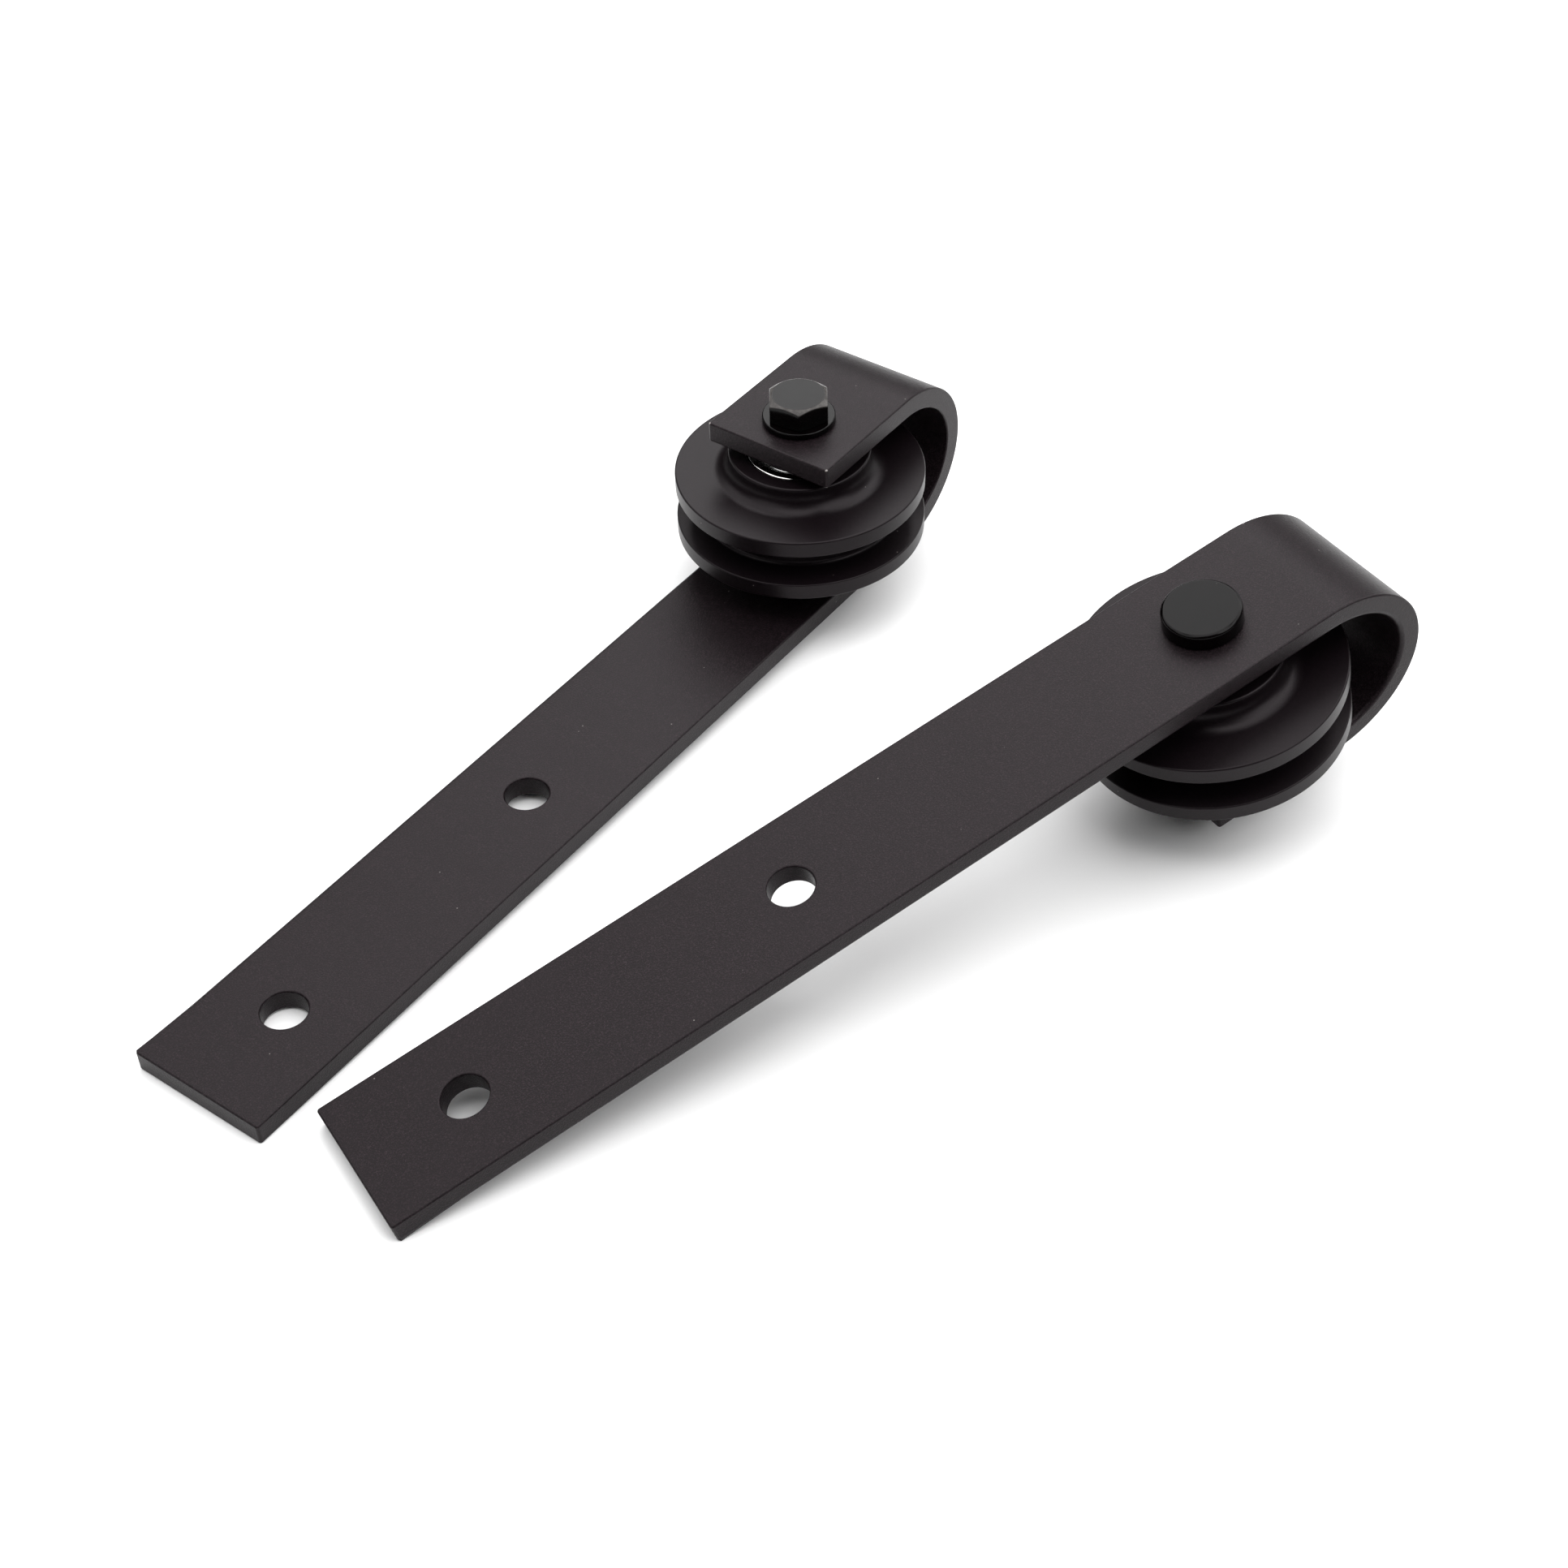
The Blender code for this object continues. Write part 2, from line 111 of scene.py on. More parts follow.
class StrapSettings(PropertyGroup):
    """Sizes of the bent bar."""

    width: length("Width", 0.040, "Width of the bar")
    thickness: length("Thickness", 0.006, "Thickness of the bar")
    long_leg: length("Long leg", 0.243, "From the axle to the bar's lower end")
    short_leg: length("Short leg", 0.0153, "From the axle to the short leg's end")
    loop_depth: length("Loop depth", 0.0511, "Over the outsides of both legs")
    bend_start: length("Bend start", 0.0238, "From the axle to where the bend begins")
    bend_reach: length("Bend reach", 0.0279, "How far the bend stands beyond its start")
    hole_radius: length("Door hole radius", 0.00585, "Radius of the two door-bolt holes")
    hole_from_end: length("Door hole from end", 0.0295, "From the lower end to the first hole")
    hole_spacing: length("Door hole spacing", 0.090, "Between the two door-bolt holes")
    nut_hole: length("Nut hole radius", 0.0068, "Radius of the hole round the nut's barrel")
    bolt_hole: length("Bolt hole radius", 0.0053, "Radius of the axle bolt's hole")
    edge: length("Edge rounding", 0.0005, "Rounding of every edge")
    rolled_edge: length("Rolled edge", 0.0013, "Rounding of the long edge left by the bar mill")
    corner: length("Corner rounding", 0.0008, "Rounding of the corners at both ends")
    bend_steps: IntProperty(name="Bend steps", description="Straight runs that make the bend",
                            default=64, min=8, max=256)


class WheelSettings(PropertyGroup):
    """Sizes of the grooved roller."""

    radius: length("Radius", 0.0352, "Radius over the flanges")
    rim_width: length("Rim width", 0.0194, "Width over both flanges")
    groove_mouth: length("Groove mouth", 0.0098, "Width of the groove at the rim")
    groove_floor: length("Groove floor", 0.0068, "Width of the groove at its floor")
    tread_radius: length("Tread radius", 0.0276, "Radius of the groove's floor")
    hub_radius: length("Hub radius", 0.0200, "Radius of the hub")
    hub_half: length("Hub half width", 0.01625, "From the middle plane to the hub's face")
    hub_fillet: length("Hub fillet", 0.0047, "Hollow between the hub and the flange")
    hub_edge: length("Hub edge", 0.0007, "Rounding of the hub's outer edge")
    rim_edge: length("Rim edge", 0.0005, "Rounding of the flanges' outer edges")
    centre: length("Centre height", 0.02555,
                   "From the long leg's outer face to the wheel's middle")
    steps: IntProperty(name="Steps", description="Sides of each turned surface", default=192,
                       min=24, max=512)


class BearingSettings(PropertyGroup):
    """Sizes of the shielded ball bearings, their spacers and the sleeve between them."""

    radius: length("Outer radius", 0.015, "Radius of the outer ring")
    bore: length("Bore radius", 0.0053, "Radius of the inner ring's bore")
    width: length("Width", 0.009, "Width of a bearing")
    offset: length("Offset", 0.01175, "From the wheel's middle plane to a bearing's middle")
    pitch: length("Pitch radius", 0.010, "Radius of the circle of balls")
    ball: length("Ball radius", 0.00218, "Radius of a ball")
    race: length("Race radius", 0.00258, "Radius of the groove the balls run in")
    outer_land: length("Outer land radius", 0.0119, "Inside radius of the outer ring")
    inner_land: length("Inner land radius", 0.0081, "Outside radius of the inner ring")
    seat: length("Shield seat radius", 0.0126, "Radius of the step that holds a shield")
    shield: length("Shield thickness", 0.0005, "Thickness of a shield")
    inset: length("Shield inset", 0.0006, "From a ring's face down to the shield")
    spacer: length("Spacer radius", 0.0078, "Radius of the side spacers")
    sleeve: length("Sleeve radius", 0.0077, "Radius of the sleeve between the bearings")
    gap: length("Side gap", 0.0033, "From a leg to the hub's face")
    balls: IntProperty(name="Balls", description="Balls in a bearing", default=8, min=5, max=12)
    steps: IntProperty(name="Steps", description="Sides of each ring", default=128, min=24,
                       max=512)


class AxleSettings(PropertyGroup):
    """Sizes of the hexagon bolt, its washer and the round nut."""

    shank: length("Shank radius", 0.005, "Radius of the bolt's shank")
    across_flats: length("Across flats", 0.016, "Width of the hexagon head")
    head_height: length("Head height", 0.0064, "Height of the hexagon head")
    head_flat: length("Head flat radius", 0.0074, "Radius of the flat on top of the head")
    head_turn: FloatProperty(name="Head turn", description="How far the head is turned",
                             default=math.radians(6.0), subtype="ANGLE")
    washer_radius: length("Washer radius", 0.0102, "Radius of the washer")
    washer_thickness: length("Washer thickness", 0.002, "Thickness of the washer")
    nut_radius: length("Nut head radius", 0.0102, "Radius of the round nut's head")
    nut_height: length("Nut head height", 0.0047, "Height of the round nut's head")
    nut_barrel: length("Nut barrel radius", 0.0065, "Radius of the nut's threaded barrel")
    edge: length("Edge rounding", 0.00025, "Rounding of the edges")
    clearance: length("Clearance", 0.0003, "Gap between pieces that touch")
    steps: IntProperty(name="Steps", description="Sides of each turned surface", default=96,
                       min=24, max=512)


class FinishSettings(PropertyGroup):
    """Colours of the finishes."""

    strap: colour("Strap coat", (0.0034, 0.0022, 0.0027), "Powder coat of the straps")
    wheel: colour("Wheel coat", (0.0030, 0.0018, 0.0024), "Paint of the rollers")
    black: colour("Bolt black", (0.0012, 0.0008, 0.0009), "Black finish of the bolts and nuts")
    # pale colour for dust specks, nicks and the strap's corner marks, and for painted highlights
    # on the bolt heads
    pale_marks_and_highlight: colour("Pale marks and painted highlights", (0.30, 0.28, 0.27), "Dust specks, nicks, corner marks and painted highlights")
    bearing: colour("Bearing steel", (0.66, 0.65, 0.64), "Ground steel of the bearing rings")
    shield: colour("Shield steel", (0.58, 0.58, 0.58), "Rolled steel of the shields")
    spacer: colour("Spacer steel", (0.50, 0.50, 0.51), "Turned steel of the spacers")


class StageSettings(PropertyGroup):
    """Camera, floor and lights."""

    camera_place: FloatVectorProperty(name="Camera place", description="Where the camera stands",
                                      default=(-0.36199, -0.25816, 0.44129), size=3,
                                      subtype="TRANSLATION", unit="LENGTH")
    camera_azimuth: FloatProperty(name="Azimuth", description="Direction the camera looks from",
                                  default=math.radians(-53.853), subtype="ANGLE")
    camera_elevation: FloatProperty(name="Elevation", description="How far it looks down",
                                    default=math.radians(42.83), subtype="ANGLE")
    camera_roll: FloatProperty(name="Roll", description="Turn about the line of sight",
                               default=math.radians(-0.757), subtype="ANGLE")
    lens: FloatProperty(name="Lens", description="Focal length on a 36 mm wide sensor",
                        default=56.137, unit="CAMERA")
    floor_radius: length("Floor radius", 0.95, "Radius of the round floor")
    floor: colour("Floor", (0.86, 0.86, 0.86), "Colour of the floor")
    light_level: FloatProperty(name="Light level", description="Brightness of every softbox",
                               default=1.07, min=0.0)
    light_distance: length("Light distance", 1.6, "From the hangers to each softbox")


SETTINGS = {
    "hanger_strap": StrapSettings,
    "hanger_wheel": WheelSettings,
    "hanger_bearing": BearingSettings,
    "hanger_axle": AxleSettings,
    "hanger_finish": FinishSettings,
    "hanger_stage": StageSettings,
}


# ---------------------------------------------------------------- where the hangers lie

def find(rows, name):
    return next(row for row in rows if row["name"] == name)


def hanger_place(tag, centre_height):
    """The matrix that lays a hanger's own frame where the packed hanger lies."""
    joint = find(frame["joints"], f"wheel_{tag}_spin")
    mount = find(frame["record"]["mounts"], f"door_face_{tag}")
    centre = Vector(joint["pos_m"])
    up = Vector(joint["axis"]).normalized()
    along = centre - Vector(mount["pos_m"])
    along = (along - up * along.dot(up)).normalized()
    across = up.cross(along)
    turn = Matrix((along, across, up)).transposed().to_4x4()
    return Matrix.Translation(centre - up * centre_height) @ turn


# ---------------------------------------------------------------- modelling

def turned(corners, steps, closed=True):
    """A profile of (radius, height, rounding) corners, rounded and turned about the Z axis."""
    bm = bmesh.new()
    verts = [bm.verts.new((radius, 0.0, height)) for radius, height, _ in corners]
    pairs = list(zip(verts, verts[1:]))
    if closed:
        pairs.append((verts[-1], verts[0]))
    for pair in pairs:
        bm.edges.new(pair)
    round_corners(bm, verts, [rounding for _, _, rounding in corners])
    bmesh.ops.spin(bm, geom=bm.verts[:] + bm.edges[:], cent=(0.0, 0.0, 0.0), axis=(0.0, 0.0, 1.0),
                   angle=math.tau, steps=steps, use_merge=True)
    bmesh.ops.remove_doubles(bm, verts=bm.verts, dist=MERGE)
    bmesh.ops.recalc_face_normals(bm, faces=bm.faces)
    return bm


def bevel(bm, geom, offset, segments, affect="EDGES", clamp=False):
    return bmesh.ops.bevel(bm, geom=geom, offset=offset, offset_type="OFFSET", affect=affect,
                           segments=segments, profile=0.5, material=-1, clamp_overlap=clamp)


def round_corners(bm, verts, roundings):
    """Round each corner of a chain of edges with its own radius."""
    turns, reaches = {}, {}
    for vert, radius in zip(verts, roundings):
        if radius > 0.0 and len(vert.link_edges) == 2:
            first, second = [edge.other_vert(vert).co - vert.co for edge in vert.link_edges]
            turns[vert] = math.pi - first.angle(second)
            reaches[vert] = radius * math.tan(turns[vert] / 2)
    shares = {}
    for vert, reach in reaches.items():
        shares[vert] = min(
            ROOM * edge.calc_length() / (reach + reaches.get(edge.other_vert(vert), 0.0))
            for edge in vert.link_edges)
    for vert, reach in reaches.items():
        segments = max(3, round(math.degrees(turns[vert]) / ROUND_STEP))
        bevel(bm, [vert], reach * min(1.0, shares[vert]), segments, "VERTICES")


def ring(inner, outer, bottom, top, edge, steps):
    return turned([(outer, top, edge), (outer, bottom, edge), (inner, bottom, edge),
                   (inner, top, edge)], steps)


def arc(centre, radius, start, end, steps):
    """Profile corners on an arc round a (radius, height) centre, with angles in degrees."""
    corners = []
    for index in range(steps + 1):
        angle = math.radians(start + (end - start) * index / steps)
        corners.append((centre[0] + radius * math.cos(angle),
                        centre[1] + radius * math.sin(angle), 0.0))
    return corners


def mirrored(corners):
    """The corners and their mirror image below z = 0, in one run from top to bottom."""
    return corners + [(radius, -height, rounding) for radius, height, rounding in
                      reversed(corners)]


def mark_pale_edges(bm, faces, amount=1.0):
    """Mark the inner lines of bevelled edges, which the finishes lighten towards the pale colour.
    """
    layer = bm.verts.layers.float.get(PALE_EDGE) or bm.verts.layers.float.new(PALE_EDGE)
    new = set(faces)
    for vert in {vert for face in faces for vert in face.verts}:
        if all(face in new for face in vert.link_faces):
            vert[layer] = amount


def finish_piece(bm, name, tag, material, body, replaced, height=0.0, flip=False):
    """Lay a modelled piece in its hanger's place, hang it on its body, and hide the parts it
    replaces.
    """
    wheel = bpy.context.scene.hanger_wheel
    place = hanger_place(tag, wheel.centre) @ Matrix.Translation((0.0, 0.0, height))
    if flip:
        place = place @ Matrix.Rotation(math.pi, 4, "X")
    bmesh.ops.transform(bm, matrix=place, verts=bm.verts)
    mesh = bpy.data.meshes.new(name)
    for face in bm.faces:
        face.smooth = True
    bm.to_mesh(mesh)
    bm.free()
    piece = bpy.data.objects.new(name, mesh)
    bpy.context.scene.collection.objects.link(piece)
    mesh.materials.append(material)
    weights = piece.modifiers.new("even_shading", "WEIGHTED_NORMAL")
    weights.keep_sharp = True
    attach(piece, body)
    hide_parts(*replaced)
    return piece


# ---------------------------------------------------------------- finishes

class Graph:
    """A material's nodes, built one after another."""

    def __init__(self, name):
        self.material = bpy.data.materials.new(name)
        self.material.use_nodes = True
        self.nodes = self.material.node_tree.nodes
        self.links = self.material.node_tree.links
        self.shader = self.nodes["Principled BSDF"]
        self.place = self.add("ShaderNodeTexCoord").outputs["Object"]

    def add(self, kind, settings=(), **values):
        node = self.nodes.new(kind)
        for key, value in dict(settings).items():
            setattr(node, key, value)
        for key, value in values.items():
            self.feed(node.inputs[key.replace("_", " ")], value)
        return node

    def feed(self, socket, value):
        if isinstance(value, bpy.types.NodeSocket):
            self.links.new(value, socket)
        else:
            socket.default_value = value

    def noise(self, scale, detail, roughness):
        node = self.add("ShaderNodeTexNoise", Vector=self.place, Scale=scale, Detail=detail,
                        Roughness=roughness)
        return node.outputs["Fac"]

    def flecks(self, scale, outside, inside, never, always):
        """Round dots in the few cells whose random number is high enough."""
        cells = self.add("ShaderNodeTexVoronoi", Vector=self.place, Scale=scale)
        chance = self.add("ShaderNodeSeparateColor", Color=cells.outputs["Color"])
        dots = self.span(cells.outputs["Distance"], outside, inside)
        return self.math("MULTIPLY", dots, self.span(chance.outputs["Red"], never, always))

    def wear(self):
        return self.add("ShaderNodeAttribute", {"attribute_name": PALE_EDGE}).outputs["Fac"]

    def span(self, value, low, high, new_low=0.0, new_high=1.0):
        node = self.add("ShaderNodeMapRange", {"clamp": True})
        for index, item in enumerate((value, low, high, new_low, new_high)):
            self.feed(node.inputs[index], item)
        return node.outputs["Result"]

    def math(self, operation, first, second):
        node = self.add("ShaderNodeMath", {"operation": operation})
        self.feed(node.inputs[0], first)
        self.feed(node.inputs[1], second)
        return node.outputs["Value"]

    def mix(self, factor, first, second):
        node = self.add("ShaderNodeMix", {"data_type": "RGBA"})
        self.feed(node.inputs["Factor"], factor)
        for socket, value in (("A", first), ("B", second)):
            target = next(item for item in node.inputs
                          if item.name == socket and item.type == "RGBA")
            self.feed(target, (*value, 1.0) if isinstance(value, tuple) else value)
        return next(item for item in node.outputs if item.type == "RGBA")

    def bump(self, height, distance, strength, normal=None):
        node = self.add("ShaderNodeBump", Height=height, Distance=distance, Strength=strength)
        if normal is not None:
            self.feed(node.inputs["Normal"], normal)
        return node.outputs["Normal"]


def shade(tone, factor):
    return tuple(min(1.0, channel * factor) for channel in tone)


def coat_finish(name, tone, pale_marks_and_highlight, gloss, sand):
    """Powder coat: a sandy skin with sparse dust specks, lightened in patches towards the pale
    colour at its marked corners.
    """
    graph = Graph(name)
    shader = graph.shader
    pebble = graph.noise(SAND, 3.0, 0.6)
    grain = graph.noise(GRAIN, 2.0, 0.6)
    cloud = graph.noise(CLOUDS, 4.0, 0.55)
    tint = graph.mix(graph.span(cloud, 0.35, 0.65), shade(tone, 0.85), shade(tone, 1.10))
    tint = graph.mix(graph.span(pebble, 0.50, 0.66), tint, shade(tone, 1.0 + 2.6 * sand))
    tint = graph.mix(graph.span(grain, 0.58, 0.68), tint, shade(tone, 1.0 + 5.5 * sand))
    dust = graph.flecks(DUST, 0.09, 0.05, 0.965, 0.975)
    tint = graph.mix(graph.math("MULTIPLY", dust, 0.5), tint, pale_marks_and_highlight)
    # the marked corners are lightened in patches towards the pale colour
    patch = graph.span(graph.noise(MARK_PATCHES, 3.0, 0.6), 0.40, 0.50)
    corner_marks = graph.math("MULTIPLY", graph.span(graph.wear(), 0.35, 0.9), patch)
    tint = graph.mix(graph.math("MULTIPLY", corner_marks, 0.9), tint, pale_marks_and_highlight)
    graph.feed(shader.inputs["Base Color"], tint)
    spread = 0.05 * sand
    graph.feed(shader.inputs["Roughness"],
               graph.span(pebble, 0.35, 0.65, gloss - spread, gloss + spread))
    normal = graph.bump(grain, GRAIN_DEPTH * sand, 0.7)
    normal = graph.bump(pebble, SAND_DEPTH * sand, 0.7, normal)
    graph.feed(shader.inputs["Normal"], normal)
    shader.inputs["Specular IOR Level"].default_value = COAT_SPECULAR
    shader.inputs["Specular Tint"].default_value = COAT_SPECULAR_TINT
    return graph.material


def black_finish(name, tone, pale_marks_and_highlight):
    """Black oxide: dark and glossy, with a few bright nicks where it is handled, and painted
    highlights on marked edges.
    """
    graph = Graph(name)
    shader = graph.shader
    smear = graph.noise(SMEARS, 3.0, 0.5)
    ripple = graph.noise(RIPPLES, 2.0, 0.5)
    tint = graph.mix(graph.span(smear, 0.35, 0.65), shade(tone, 0.8), shade(tone, 1.25))
    nick = graph.flecks(NICKS, 0.12, 0.06, 0.985, 0.992)
    # painted highlight on the bolt head's marked rims and corners, in patches, plus real nicks,
    # all towards the pale colour
    patch = graph.span(graph.noise(HIGHLIGHT_PATCHES, 3.0, 0.6), 0.20, 0.60, 0.3)
    nicks_and_highlights = graph.math("MAXIMUM", graph.math("MULTIPLY", graph.wear(), patch), nick)
    tint = graph.mix(graph.math("MULTIPLY", nicks_and_highlights, 0.6), tint, pale_marks_and_highlight)
    graph.feed(shader.inputs["Base Color"], tint)
    graph.feed(shader.inputs["Roughness"], graph.span(smear, 0.3, 0.7, 0.13, 0.19))
    graph.feed(shader.inputs["Normal"], graph.bump(ripple, RIPPLE_DEPTH, 0.4))
    shader.inputs["Specular IOR Level"].default_value = BLACK_SPECULAR
    return graph.material


def steel_finish(name, tone, low, high, axle_place):
    """Bright steel with the fine rings that turning leaves."""
    graph = Graph(name)
    shader = graph.shader
    cloud = graph.noise(STEEL_CLOUDS, 2.0, 0.5)
    graph.feed(shader.inputs["Base Color"],
               graph.mix(graph.span(cloud, 0.3, 0.7), shade(tone, 0.95), shade(tone, 1.04)))
    graph.feed(shader.inputs["Roughness"], graph.span(cloud, 0.3, 0.7, low, high))
    mapping = graph.add("ShaderNodeMapping", {"vector_type": "TEXTURE"}, Vector=graph.place)
    mapping.inputs["Location"].default_value = axle_place.to_translation()
    mapping.inputs["Rotation"].default_value = axle_place.to_euler()
    rings = graph.add("ShaderNodeTexWave", {"wave_type": "RINGS", "rings_direction": "Z"},
                      Vector=mapping.outputs["Vector"], Scale=TURNING_MARKS,
                      Distortion=0.6, Detail=2.0)
    graph.feed(shader.inputs["Normal"], graph.bump(rings.outputs["Fac"], TURNING_DEPTH, 0.4))
    shader.inputs["Metallic"].default_value = 1.0
    return graph.material


# ---------------------------------------------------------------- the strap

def bend_line(strap):
    """Points down the middle of the bar's thickness round the bend, as (x, z)."""
    reach = strap.bend_reach - strap.thickness / 2
    rise = (strap.loop_depth - strap.thickness) / 2
    points = []
    for index in range(strap.bend_steps + 1):
        angle = math.pi * (index / strap.bend_steps - 0.5)
        points.append(Vector((strap.bend_start + reach * math.cos(angle),
                              strap.loop_depth / 2 + rise * math.sin(angle))))
    return points


def punch_hole(bm, x, radius, half_width):
    """Cut a round hole in the flat blank, with a ring of faces round it."""
    square = min(half_width, COLLAR * radius)
    for offset in (-square, square):
        cut_blank(bm, (x + offset, 0.0, 0.0), (1.0, 0.0, 0.0))
    near = [face for face in bm.faces if abs(face.calc_center_median().x - x) < square]
    for offset in (-square, square):
        cut_faces(bm, near, (0.0, offset, 0.0), (0.0, 1.0, 0.0))
        near = [face for face in bm.faces if abs(face.calc_center_median().x - x) < square]
    middle = min(near, key=lambda face: abs(face.calc_center_median().y))
    rim = middle.edges[:]
    bmesh.ops.delete(bm, geom=[middle], context="FACES_ONLY")
    bmesh.ops.subdivide_edges(bm, edges=rim, cuts=HOLE_SIDES // 4 - 1)
    reach = square + MERGE
    rim = [edge for edge in bm.edges if edge.is_boundary and all(
        abs(vert.co.x - x) < reach and abs(vert.co.y) < reach for vert in edge.verts)]
    hole = bmesh.ops.extrude_edge_only(bm, edges=rim)
    centre = Vector((x, 0.0, 0.0))
    for item in hole["geom"]:
        if isinstance(item, bmesh.types.BMVert):
            item.co = centre + (item.co - centre).normalized() * radius


def cut_blank(bm, point, normal):
    bmesh.ops.bisect_plane(bm, geom=bm.verts[:] + bm.edges[:] + bm.faces[:], dist=MERGE,
                           plane_co=point, plane_no=normal)


def cut_faces(bm, faces, point, normal):
    edges = {edge for face in faces for edge in face.edges}
    verts = {vert for face in faces for vert in face.verts}
    bmesh.ops.bisect_plane(bm, geom=list(verts) + list(edges) + list(faces), dist=MERGE,
                           plane_co=point, plane_no=normal)


def strap_mesh(strap):
    """A flat blank is cut, punched, thickened, rounded, and then bent station by station."""
    line = bend_line(strap)
    runs = [(second - first).length for first, second in zip(line, line[1:])]
    bend_end = strap.bend_start + sum(runs)
    far_end = bend_end + strap.bend_start + strap.short_leg
    half = strap.width / 2

    bm = bmesh.new()
    bmesh.ops.create_grid(bm, x_segments=1, y_segments=1, size=0.5)
    bmesh.ops.scale(bm, vec=(far_end + strap.long_leg, strap.width, 1.0), verts=bm.verts)
    bmesh.ops.translate(bm, vec=((far_end - strap.long_leg) / 2, 0.0, 0.0), verts=bm.verts)
    station = strap.bend_start
    stations = [station]
    for run in runs:
        station += run
        stations.append(station)
    for station in stations:
        cut_blank(bm, (station, 0.0, 0.0), (1.0, 0.0, 0.0))
    first_hole = strap.hole_from_end - strap.long_leg
    for x, radius in ((first_hole, strap.hole_radius),
                      (first_hole + strap.hole_spacing, strap.hole_radius),
                      (0.0, strap.nut_hole), (bend_end + strap.bend_start, strap.bolt_hole)):
        punch_hole(bm, x, radius, half)

    blank = bmesh.ops.extrude_face_region(bm, geom=bm.faces[:])
    raised = [item for item in blank["geom"] if isinstance(item, bmesh.types.BMVert)]
    bmesh.ops.translate(bm, vec=(0.0, 0.0, strap.thickness), verts=raised)
    bmesh.ops.recalc_face_normals(bm, faces=bm.faces)

    corners = [edge for edge in bm.edges
               if abs((edge.verts[0].co - edge.verts[1].co).z) > strap.thickness / 2
               and all(abs(abs(vert.co.y) - half) < MERGE for vert in edge.verts)
               and (edge.verts[0].co.x < MERGE - strap.long_leg
                    or edge.verts[0].co.x > far_end - MERGE)]
    bevel(bm, corners, strap.corner, EDGE_SEGMENTS + 1)
    rolled = [edge for edge in bm.edges if all(
        abs(vert.co.y - half) < MERGE and abs(vert.co.z - strap.thickness) < MERGE
        for vert in edge.verts)]
    bevel(bm, rolled, strap.rolled_edge, EDGE_SEGMENTS + 2)
    rims = [edge for edge in bm.edges if len(edge.link_faces) == 2
            and edge.calc_face_angle() > SHARP]
    rounded = bevel(bm, rims, strap.edge, EDGE_SEGMENTS)
    # the rounded corners at the short leg's end are marked for lightening towards the pale colour
    corner_marks = [face for face in rounded["faces"]
               if far_end - face.calc_center_median().x < strap.rolled_edge
               and half - abs(face.calc_center_median().y) < strap.rolled_edge]
    mark_pale_edges(bm, corner_marks)
    bend_blank(bm, stations, line)
    bmesh.ops.recalc_face_normals(bm, faces=bm.faces)
    return bm


def bend_blank(bm, stations, line):
    """Turn everything beyond each station, so that the blank follows the bend's line."""
    beyond = {station: [] for station in stations}
    at = {station: [] for station in stations}
    for vert in bm.verts:
        for station in stations:
            if vert.co.x > station + MERGE:
                beyond[station].append(vert)
            elif vert.co.x > station - MERGE:
                at[station].append(vert)
    headings = [math.atan2((second - first).y, (second - first).x)
                for first, second in zip(line, line[1:])]
    headings = [0.0] + headings + [math.pi]
    for index, station in enumerate(stations):
        pivot = (line[index].x, 0.0, line[index].y)
        turn = headings[index] - headings[index + 1]
        for verts, share in ((beyond[station], 1.0), (at[station], 0.5)):
            bmesh.ops.rotate(bm, cent=pivot, verts=verts,
                             matrix=Matrix.Rotation(turn * share, 3, "Y"))


class HANGERS_OT_straps(Operator):
    """Make both bent straps"""

    bl_idname = "hangers.straps"
    bl_label = "Straps"

    def execute(self, context):
        strap = context.scene.hanger_strap
        finish = context.scene.hanger_finish
        material = coat_finish("powder_coat", tuple(finish.strap), tuple(finish.pale_marks_and_highlight),
                               gloss=0.37, sand=1.0)
        for tag in TAGS:
            finish_piece(strap_mesh(strap), f"hanger_{tag}_strap", tag, material,
                         f"hanger_{tag}", [f"strap_{tag}"])
        return {"FINISHED"}


# ---------------------------------------------------------------- the roller

class HANGERS_OT_rollers(Operator):
    """Make both grooved rollers"""

    bl_idname = "hangers.rollers"
    bl_label = "Rollers"

    def profile(self, wheel, bearing, clearance):
        flange = wheel.rim_width / 2
        seat = bearing.radius + clearance
        shoulder = bearing.offset - bearing.width / 2 - clearance
        shoulder_radius = (bearing.outer_land + bearing.radius) / 2
        seat_edge, mouth_edge, floor_corner, step_edge = 0.0003, 0.0004, 0.0013, 0.0002
        upper = [(seat, wheel.hub_half, seat_edge),
                 (wheel.hub_radius, wheel.hub_half, wheel.hub_edge),
                 (wheel.hub_radius, flange, wheel.hub_fillet),
                 (wheel.radius, flange, wheel.rim_edge),
                 (wheel.radius, wheel.groove_mouth / 2, mouth_edge),
                 (wheel.tread_radius, wheel.groove_floor / 2, floor_corner)]
        step = [(seat, -shoulder, step_edge), (shoulder_radius, -shoulder, step_edge),
                (shoulder_radius, shoulder, step_edge), (seat, shoulder, step_edge)]
        return mirrored(upper) + step

    def execute(self, context):
        scene = context.scene
        wheel, bearing, finish = scene.hanger_wheel, scene.hanger_bearing, scene.hanger_finish
        material = coat_finish("roller_paint", tuple(finish.wheel), tuple(finish.pale_marks_and_highlight),
                               gloss=0.35, sand=0.20)
        for tag in TAGS:
            bm = turned(self.profile(wheel, bearing, scene.hanger_axle.clearance), wheel.steps)
            finish_piece(bm, f"hanger_{tag}_roller", tag, material, f"wheel_{tag}",
                         [f"wheel_{tag}"], wheel.centre)
        return {"FINISHED"}


# ---------------------------------------------------------------- the bearings

